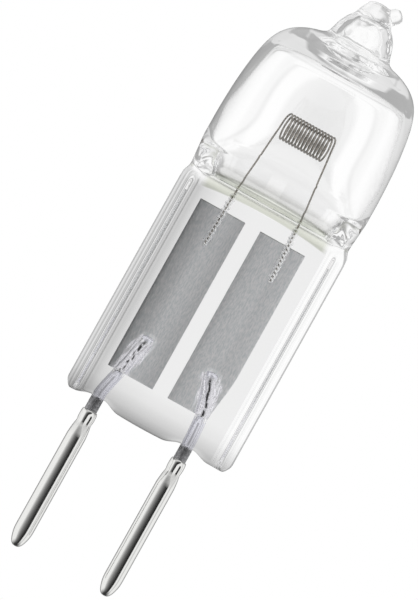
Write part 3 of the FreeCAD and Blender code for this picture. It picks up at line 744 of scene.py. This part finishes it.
def leg_channel(side):
    """The channel round an overwound leg, beaded where the glass has run into its turns."""
    (top_x, top_y, top_z), (end_x, end_y, end_z) = leg_seat(side)
    rows = []
    for share in np.linspace(0, 0.965, 150):
        z = end_z + (LEG_TOP - end_z) * share
        along = (z - end_z) / (top_z - end_z)
        bead = 0.5 + 0.5 * math.sin(2 * math.pi * z / WINDING_PITCH)
        ends = min(1, (share + 0.01) * 14, (0.975 - share) * 30)
        radius = (LEG_BORE + LEG_BEAD * bead) * math.sqrt(max(ends, 0.02))
        sway = LEG_SWAY * math.cos(2 * math.pi * z / (2 * WINDING_PITCH))
        x = end_x + (top_x - end_x) * along + sway
        rows.append((x, end_y + (top_y - end_y) * along, z, radius))
    return channel(rows, 20)


def quartz_glass():
    """The glass in one piece: its outside, its cavity, and the channels that the metal lies in."""
    points, faces = outer_skin()
    gripped = [0.0] * len(points)
    parts = [(cavity_skin(), 0.0)]
    for side in (LEFT, RIGHT):
        parts += [(lead_channel(side), 0.0), (leg_channel(side), LEG_GRIP)]
    for (more, quads), grip in parts:
        faces += [tuple(len(points) + corner for corner in quad) for quad in quads]
        points = np.concatenate([points, more])
        gripped += [grip] * len(more)
    glass = finished(
        "quartz_glass", points, faces, QUARTZ, ["quartz_envelope"], outwards=False
    )
    mark(glass, "gripped", gripped, points)


quartz_glass()

# Filament: one wire, drawn through its path by Geometry Nodes

WIRE_RADIUS = 0.06
COIL_MIDDLE = Vector((-0.11, 0, 31.1))
COIL_RADIUS, COIL_PITCH, COIL_TURNS = 0.835, 0.223, 14.33
STEPS_PER_TURN = 28
# The coil is turned a little out of the seal's plane
COIL_YAW = math.radians(14)
COIL_AXIS = Vector((math.cos(COIL_YAW), math.sin(COIL_YAW), 0))
COIL_BACK = Vector((-math.sin(COIL_YAW), math.cos(COIL_YAW), 0))
UP = Vector((0, 0, 1))
# Radius of the bend from the coil into a leg
LEG_BEND = 0.35


def group_with(name, inputs):
    """A Geometry Nodes tree with named inputs after its geometry, what they give, and its output."""
    tree = bpy.data.node_groups.new(name, "GeometryNodeTree")
    tree.interface.new_socket("Geometry", in_out="INPUT", socket_type="NodeSocketGeometry")
    for label, kind in inputs:
        tree.interface.new_socket(label, in_out="INPUT", socket_type="NodeSocket" + kind)
    tree.interface.new_socket("Geometry", in_out="OUTPUT", socket_type="NodeSocketGeometry")
    return tree, tree.nodes.new("NodeGroupInput").outputs, tree.nodes.new("NodeGroupOutput")


def sweep(tree, given, out, path, section):
    """Ends a tree: the section swept along the path with closed ends, made real, in its material."""
    wire = add_node(tree, "CurveToMesh", {"Curve": path, "Profile Curve": section, "Fill Caps": True})
    real = add_node(tree, "RealizeInstances", {"Geometry": wire})
    coat = add_node(tree, "SetMaterial", {"Geometry": real, "Material": given["Material"]})
    feed(tree, out, {"Geometry": coat})


def wire_sweep():
    """Sweeps a round wire along the edges that it is given."""
    tree, given, out = group_with(
        "wire_sweep", [("Radius", "Float"), ("Sides", "Int"), ("Material", "Material")]
    )
    path = add_node(tree, "MeshToCurve", {"Mesh": given["Geometry"]})
    section = add_node(tree, "CurvePrimitiveCircle", {"Resolution": given["Sides"], "Radius": given["Radius"]})
    sweep(tree, given, out, path, section)
    return tree


def close_winding():
    """Winds a fine wire round a straight run: a spiral up the Z axis, from the origin."""
    tree, given, out = group_with("close_winding", [
        ("Wire radius", "Float"), ("Winding radius", "Float"), ("Length", "Float"), ("Turns", "Float"),
        ("Material", "Material"),
    ])
    spiral = add_node(tree, "CurveSpiral", {
        "Rotations": given["Turns"], "Start Radius": given["Winding radius"],
        "End Radius": given["Winding radius"], "Height": given["Length"], "Resolution": 20,
    })
    section = add_node(tree, "CurvePrimitiveCircle", {"Radius": given["Wire radius"], "Resolution": 8})
    sweep(tree, given, out, spiral, section)
    return tree


def grown(name, mesh, tree, values, replaces, turn=None):
    """The mesh that a Geometry Nodes tree makes of this one, as a finished piece."""
    seat = in_scene(name + "_seed", mesh)
    modifier = seat.modifiers.new("nodes", "NODES")
    modifier.node_group = tree
    for item in tree.interface.items_tree:
        if item.in_out == "INPUT" and item.name in values:
            modifier[item.identifier] = values[item.name]
    seat.update_tag()
    graph = bpy.context.evaluated_depsgraph_get()
    made = bpy.data.meshes.new_from_object(seat.evaluated_get(graph))
    made.name = name
    bpy.data.objects.remove(seat)
    if turn:
        made.transform(turn)
    return carried(name, made, replaces)


def polyline(name, points):
    mesh = bpy.data.meshes.new(name)
    edges = [(at, at + 1) for at in range(len(points) - 1)]
    mesh.from_pydata([tuple(Vector(point) * MM) for point in points], edges, [])
    return mesh


def coil_path():
    points = []
    count = round(COIL_TURNS * STEPS_PER_TURN)
    for at in range(count + 1):
        share = at / count
        angle = 2 * math.pi * COIL_TURNS * share
        along = COIL_AXIS * (COIL_PITCH * COIL_TURNS * (share - 0.5))
        across = (COIL_BACK * math.cos(angle) + UP * math.sin(angle)) * COIL_RADIUS
        points.append(COIL_MIDDLE + along + across)
    return points


def leg_path(start, heading, side):
    """A leg: a bend out of the coil, then straight runs to the glass and to its end on the foil."""
    entry, end = (Vector(point) for point in leg_seat(side))
    aim = (entry - start).normalized()
    across = (aim - heading * aim.dot(heading)).normalized()
    turn = math.acos(aim.dot(heading))
    bend = []
    for share in np.linspace(0.1, 0.9, 9):
        angle = turn * share
        bend.append(start + (heading * math.sin(angle) + across * (1 - math.cos(angle))) * LEG_BEND)
    return [*bend, entry, end]


COIL = coil_path()
LEFT_LEG = leg_path(COIL[0], (COIL[0] - COIL[1]).normalized(), LEFT)
RIGHT_LEG = leg_path(COIL[-1], (COIL[-1] - COIL[-2]).normalized(), RIGHT)
grown(
    "filament_wire", polyline("filament_path", [*reversed(LEFT_LEG), *COIL, *RIGHT_LEG]), wire_sweep(),
    {"Radius": WIRE_RADIUS * MM, "Sides": 10, "Material": TUNGSTEN}, ["filament"],
)

WINDING = close_winding()
for side, name in SIDES:
    entry, end = (Vector(point) for point in leg_seat(side))
    run = (entry - end).normalized()
    length = (WINDING_TOP - end.z) / run.z
    turn = Matrix.Translation(end * MM) @ run.to_track_quat("Z", "Y").to_matrix().to_4x4()
    grown(
        "overwind_" + name, polyline("winding_seed_" + name, [(0, 0, 0), (0, 0, 1)]), WINDING,
        {
            "Wire radius": WINDING_WIRE * MM, "Winding radius": WINDING_RADIUS * MM, "Length": length * MM,
            "Turns": length / WINDING_PITCH, "Material": WINDING_METAL,
        },
        ["leg_overwind_" + name], turn,
    )

# Foils: rolled strips, drawn tight over the ends of the outer leads

# The inner and the outer edge of each foil
FOIL_EDGES = {LEFT: (-0.83, -4.01), RIGHT: (0.25, 3.43)}
FOIL_BOTTOM, FOIL_TOP = 12.7, 24.6
# The right foil's outer edge is cut in at its lower end
CUT_IN, CUT_START, CUT_END = 0.38, FOIL_BOTTOM - 0.6, FOIL_BOTTOM + 3.4
# How far forward a foil stands over its lead, and where that fades beside it and above its end
DRAPE = 0.25
DRAPE_SIDE, DRAPE_TOP = (0.12, 0.66), (14.9, 15.75)
# The left foil's outer edge curls forward
CURL, CURL_WIDTH = 0.07, 0.6
# Half thickness in the middle, and the width over which it thins to its edges
FOIL_HALF, FEATHER = 0.012, 0.12


def foil_noise(across, up, size, seed):
    """Noise over a foil, from lengths across and up it, with bumps about size across."""
    points = np.stack([across.ravel(), np.zeros(across.size), up.ravel()], 1)
    return ripple(points, size, seed).reshape(across.shape)


def foil_face(side, u, v):
    """The middle of a foil's metal at a share across (0 at its inner edge) and a share up.

    With it come how far each point was worked by the tool, which also sets a painted highlight, and a painted
    dark streak of shade over the lead.
    """
    near, far = FOIL_EDGES[side]
    z = FOIL_BOTTOM + (FOIL_TOP - FOIL_BOTTOM) * v
    edge = far
    if side == RIGHT:
        edge = far - CUT_IN * (1 - smooth_step(CUT_START, CUT_END, z))
    x = near + (edge - near) * u
    aside = x - lead_centre(side, np.clip(z, LEAD_FROM, LEAD_TO))
    y = -DRAPE * ((1 - smooth_step(*DRAPE_SIDE, np.abs(aside))) * (1 - smooth_step(*DRAPE_TOP, z)))
    if side == LEFT:
        y = y - CURL * (1 - smooth_step(0.0, CURL_WIDTH, np.abs(x - far)))
    # The worked part is a crinkled strip over the lead that fans out above its end, ragged and streaked, and
    # it also carries a painted highlight
    ragged = 0.16 * foil_noise(aside, 0.5 * z, 0.35, 41 + side)
    fan = 0.3 * smooth_step(14.0, 15.9, z)
    crinkle_and_glint = 1 - smooth_step(0.25 + fan, 0.85 + fan, np.abs(aside) + ragged)
    crinkle_and_glint = crinkle_and_glint * (1 - smooth_step(14.2, 15.9, z + 1.5 * ragged))
    streaks = foil_noise(aside, 0.12 * z, 0.11, 51 + side)
    crinkle_and_glint = smooth_step(0.1, 0.75, crinkle_and_glint + 0.55 * streaks) * smooth_step(0.0, 0.25, crinkle_and_glint)
    crease = foil_noise(aside, 0.12 * z, 0.17, 21 + side)
    fine = foil_noise(x, 0.6 * z, 0.08, 25 + side)
    swell = foil_noise(x, 0.35 * z, 0.9, 31 + side)
    y = y + ((0.08 * crease + 0.02 * fine) * np.minimum(1.3 * crinkle_and_glint, 1) + 0.008 * swell)
    # The painted dark streak of shade wanders up the middle of the lead, and is broken here and there
    wander = 0.09 * foil_noise(0 * x, z, 0.5, 71 + side)
    broken = foil_noise(x, 0.5 * z, 0.2, 81 + side)
    painted_dark_streak = (1 - smooth_step(0.05, 0.12, np.abs(aside + wander))) * smooth_step(-0.35, -0.05, broken)
    return np.stack([x, y, z], -1), crinkle_and_glint, painted_dark_streak * (1 - smooth_step(14.9, 15.3, z))


def foil(side, name):
    """One foil: a front and a back that meet in feathered edges, with rows closest at the lead."""
    across, up = 84, 220
    u, v = np.meshgrid(np.linspace(0, 1, across), np.linspace(0, 1, up) ** 1.5)
    middle, crinkle_and_glint, painted_dark_streak = foil_face(side, u, v)
    width, height = 3.18, FOIL_TOP - FOIL_BOTTOM
    rim = np.minimum(np.minimum(u, 1 - u) * width, np.minimum(v, 1 - v) * height)
    half = FOIL_HALF * smooth_step(0.0, FEATHER, rim)
    front, back = middle.copy(), middle.copy()
    front[..., 1] -= half
    back[..., 1] += half
    points = np.concatenate([front.reshape(-1, 3), back.reshape(-1, 3)])
    faces = []
    shift = across * up
    for row in range(up - 1):
        for column in range(across - 1):
            a = row * across + column
            quad = (a, a + 1, a + across + 1, a + across)
            faces.append(quad)
            faces.append(tuple(shift + corner for corner in quad)[::-1])
    piece = finished("sealing_foil_" + name, points, faces, FOIL, ["foil_" + name])
    for label, values in (("crinkle_and_glint", crinkle_and_glint), ("painted_dark_streak", painted_dark_streak)):
        mark(piece, label, np.concatenate([values.ravel()] * 2), points)


for side, name in SIDES:
    foil(side, name)

# Outer leads: round rods, flattened where the foil lies over them

# Heights over which a rod goes flat, by what share, and where its back ends in either part
FLATTENED = (12.3, 12.8)
FLAT_SHARE = 0.5
ROUND_BACK, FLAT_BACK = 0.4, -0.02


def lead(side, name):
    """One rod, from inside its pin to its end under the foil."""
    columns = 32
    points = []
    heights = [4.92, *np.linspace(9.6, 10.9, 8), *np.linspace(11.0, 15.35, 40), 15.42, 15.47, 15.49]
    shrinks = [0.0, *[1.0] * (len(heights) - 4), 0.85, 0.55, 0.0]
    for z, shrink in zip(heights, shrinks):
        centre = float(lead_centre(side, max(z, LEAD_FROM)))
        flat = float(smooth_step(*FLATTENED, z))
        for turn in around(columns):
            x, y = ROD_RADIUS * shrink * math.cos(turn), ROD_RADIUS * shrink * math.sin(turn)
            y = min(y * (1 - FLAT_SHARE * flat), ROUND_BACK + (FLAT_BACK - ROUND_BACK) * flat)
            points.append((centre + x, y, z))
    finished(
        "lead_rod_" + name, points, shell_faces(len(heights), columns), ROD,
        ["outer_lead_" + name],
    )


for side, name in SIDES:
    lead(side, name)

# Pins: nickel sleeves, swaged to a bullet tip and nipped on the lead at their necks

# Radius by height, as height and radius
PIN_MOUTH = 9.68
PIN_OUTLINE = [
    (0.0, 0.0), (0.012, 0.12), (0.05, 0.22), (0.14, 0.32), (0.28, 0.41), (0.45, 0.48), (0.65, 0.54),
    (0.87, 0.59), (1.1, 0.617), (1.35, 0.625), (7.75, 0.625), (7.95, 0.618), (8.2, 0.597), (8.5, 0.56),
    (8.7, 0.522), (8.84, 0.505), (9.0, 0.528), (9.15, 0.541), (9.45, 0.535), (9.6, 0.51),
    (PIN_MOUTH, 0.47),
]
# The nips in the neck, as degrees round and depth, how far round one reaches, and the heights
NIPS = ((-66, 0.09), (-150, 0.06), (90, 0.08))
NIP_REACH = 0.75
NIP_START, NIP_END = (7.7, 8.8), (9.3, 9.66)
# The open mouth round the lead, as its radius and how far down it is seen
MOUTH_RADIUS, MOUTH_FLOOR = 0.425, 9.4


def pin(side, name):
    """One sleeve, from its tip up to its mouth and in round the lead."""
    columns = 64
    heights = [
        0.0, 0.004, 0.012, 0.03, *np.linspace(0.05, 1.35, 26), 3.0, 5.0, 7.0,
        *np.linspace(7.7, 9.62, 48), 9.66, PIN_MOUTH,
    ]
    centre = pin_centre(side)
    points = []
    for z in heights:
        radius = float(curve_through(PIN_OUTLINE, z))
        nip = float(smooth_step(*NIP_START, z) * (1 - smooth_step(*NIP_END, z)))
        for turn in around(columns):
            dent = 0.0
            for aim, depth in NIPS:
                apart = abs(math.remainder(turn - math.radians(aim), 2 * math.pi))
                dent += depth * float(1 - smooth_step(0.0, NIP_REACH, apart))
            r = radius - dent * nip
            points.append((centre + r * math.cos(turn), r * math.sin(turn), z))
    for r, z in ((MOUTH_RADIUS, PIN_MOUTH), (MOUTH_RADIUS, MOUTH_FLOOR), (0, MOUTH_FLOOR)):
        points += [(centre + r * math.cos(turn), r * math.sin(turn), z) for turn in around(columns)]
    finished(
        "nickel_pin_" + name, points, shell_faces(len(heights) + 3, columns), NICKEL,
        ["pin_" + name],
    )


for side, name in SIDES:
    pin(side, name)

# Camera: level, square to the seal, rolled so that the lamp leans to the right

LEAN = math.radians(29.2)
# In metres: what the photo's middle shows, the camera's distance, and the photo's height there, from
# its 600 pixels at 16.03 to the millimetre
AIM = Vector((-0.47, 0, 19.3)) * MM
CAMERA_DISTANCE = 1.6
PHOTO_HEIGHT = 600 / 16.03 * MM
SENSOR = 24.0


def photo_camera():
    camera = bpy.data.cameras.new("camera")
    camera.sensor_fit = "VERTICAL"
    camera.sensor_height = SENSOR
    camera.lens = SENSOR * CAMERA_DISTANCE / PHOTO_HEIGHT
    camera.clip_start = 0.01
    seat = in_scene("camera", camera)
    across = Vector((math.cos(LEAN), 0, math.sin(LEAN)))
    up = Vector((-math.sin(LEAN), 0, math.cos(LEAN)))
    back = Vector((0, -1, 0))
    turn = Matrix((across, up, back)).transposed().to_4x4()
    seat.matrix_world = Matrix.Translation(AIM + back * CAMERA_DISTANCE) @ turn
    bpy.context.scene.camera = seat


photo_camera()

# Studio: white all round, with soft grey cards that draw the glass and the metal

bpy.context.scene.view_settings.view_transform = "Standard"


def off_axis(angle):
    """Degrees away from straight ahead (+Y) as a ramp's place, spread out near straight ahead."""
    return math.sqrt(angle / 180)


def round_about(angle):
    """An azimuth in degrees, 0 straight ahead and positive to the right, as a ramp's place."""
    return 0.5 + angle / 360


# The line of sight from the camera to the middle of the bulb, which the cards are set round
BULB_SIGHT = (Vector((-0.3, 0, 31.0)) * MM - AIM + Vector((0, CAMERA_DISTANCE, 0))).normalized()
# How bright the studio is by degrees off that line, on its left and right: first as seen straight
# through the glass, then by light that was turned back inside it
THROUGH = [
    (0, 0.89, 0.89), (1.25, 0.9, 0.9), (1.7, 1.0, 1.0), (2.9, 1.0, 1.0), (3.4, 0.88, 0.9),
    (4.0, 1.0, 1.0), (13, 1.0, 1.0), (22, 0.9, 0.96), (32, 0.55, 0.9), (50, 0.45, 0.86),
    (66, 0.95, 0.98), (120, 1.0, 1.0), (180, 0.9, 0.9),
]
INSIDE = [
    (0, 0.22, 0.5), (6, 0.26, 0.6), (14, 0.4, 0.72), (45, 0.44, 0.8), (62, 0.9, 0.98),
    (78, 1.0, 1.0), (83, 0.5, 0.6), (97, 0.5, 0.6), (102, 1.0, 1.0), (138, 1.0, 1.0),
    (160, 0.6, 0.6), (180, 0.36, 0.36),
]
# How bright it is all round by azimuth, as mirrored in metal that stands in the open
MIRRORED = [
    (-180, 0.12), (-165, 0.22), (-150, 0.38), (-138, 0.62), (-124, 1.0), (-62, 1.0), (-40, 0.35),
    (0, 0.2), (40, 0.4), (62, 1.0), (95, 1.0), (106, 0.6), (118, 0.95), (134, 1.0), (137, 0.02),
    (152, 0.02), (165, 0.05), (180, 0.12),
]
# The cards above and below: how steep a direction is where one starts and where it is full, and its grey
CARDS = ((0.1, 0.45, 0.7), (-0.55, -0.95, 0.04))
# Half width of the soft change from left to right
SIDE_CHANGE = 0.05


def studio():
    """The world. Which table light sees depends on what it has met on its way from the camera."""
    world = bpy.data.worlds.new("studio")
    bpy.context.scene.world = world
    world.use_nodes = True
    tree = world.node_tree
    tree.nodes.clear()
    place = add_node(tree, "TexCoord").outputs["Generated"]
    x, y, z = add_node(tree, "SeparateXYZ", {"Vector": place}).outputs
    facing = add_node(tree, "VectorMath", {0: place, 1: BULB_SIGHT}, operation="DOT_PRODUCT")
    ahead = add_node(tree, "Clamp", {"Value": facing, "Min": -1.0, "Max": 1.0})
    angle = add_node(tree, "Math", {0: ahead}, operation="ARCCOSINE")
    part = add_node(tree, "Math", {0: angle, 1: math.pi}, operation="DIVIDE")
    turned = add_node(tree, "Math", {0: part}, operation="SQRT")
    azimuth = add_node(tree, "Math", {0: x, 1: y}, operation="ARCTAN2")
    share = add_node(tree, "Math", {0: azimuth, 1: 1 / (2 * math.pi), 2: 0.5}, operation="MULTIPLY_ADD")
    rightness = add_node(tree, "MapRange", {"Value": x, "From Min": -SIDE_CHANGE, "From Max": SIDE_CHANGE})
    seen = []
    for table in (THROUGH, INSIDE):
        sides = ([(row[0], row[side]) for row in table] for side in (1, 2))
        left, right = (add_node(tree, "ValToRGB", {"Fac": turned}, grey_stops(s, off_axis)) for s in sides)
        seen.append(add_node(tree, "Mix", {"Factor": rightness, 6: left, 7: right}, data_type="RGBA"))
    mirror = add_node(tree, "ValToRGB", {"Fac": share}, grey_stops(MIRRORED, round_about))
    for start, full, value in CARDS:
        steep = add_node(tree, "MapRange", {"Value": z, "From Min": start, "From Max": full})
        mirror = add_node(tree, "Mix", {"Factor": steep, 6: mirror, 7: grey(value)}, data_type="RGBA")
    rays = add_node(tree, "LightPath")
    bounced, deep = (
        add_node(tree, "Math", {0: rays.outputs["Glossy Depth"], 1: count}, operation="GREATER_THAN")
        for count in (0.5, TRAPPED_AFTER)
    )
    in_glass = add_node(tree, "Math", {0: rays.outputs["Is Transmission Ray"], 1: deep}, operation="MAXIMUM")
    through = add_node(tree, "Mix", {"Factor": bounced, 6: seen[0], 7: seen[1]}, data_type="RGBA")
    open_air = add_node(
        tree, "Mix", {"Factor": rays.outputs["Is Glossy Ray"], 6: grey(1), 7: mirror}, data_type="RGBA"
    )
    both = add_node(tree, "Mix", {"Factor": in_glass, 6: open_air, 7: through}, data_type="RGBA")
    light = add_node(tree, "Background", {"Color": both})
    add_node(tree, "OutputWorld", {"Surface": light})


studio()

# Half the table's width, and its height, in metres
TABLE_HALF, TABLE_HEIGHT = 0.2, -0.012


def floor():
    """A pale table well under the pins, out of the photo's frame, that catches a soft shadow."""
    material, tree, shader, _ = new_material("table_paper")
    feed(tree, shader, {"Base Color": linear("#f4f4f4"), "Roughness": 0.9})
    mesh = bpy.data.meshes.new("table")
    corners = [
        (x * TABLE_HALF, y * TABLE_HALF, TABLE_HEIGHT) for x, y in ((-1, -1), (1, -1), (1, 1), (-1, 1))
    ]
    mesh.from_pydata(corners, [], [(0, 1, 2, 3)])
    mesh.materials.append(material)
    table = in_scene("table", mesh)
    table.visible_glossy = False
    table.visible_transmission = False


floor()
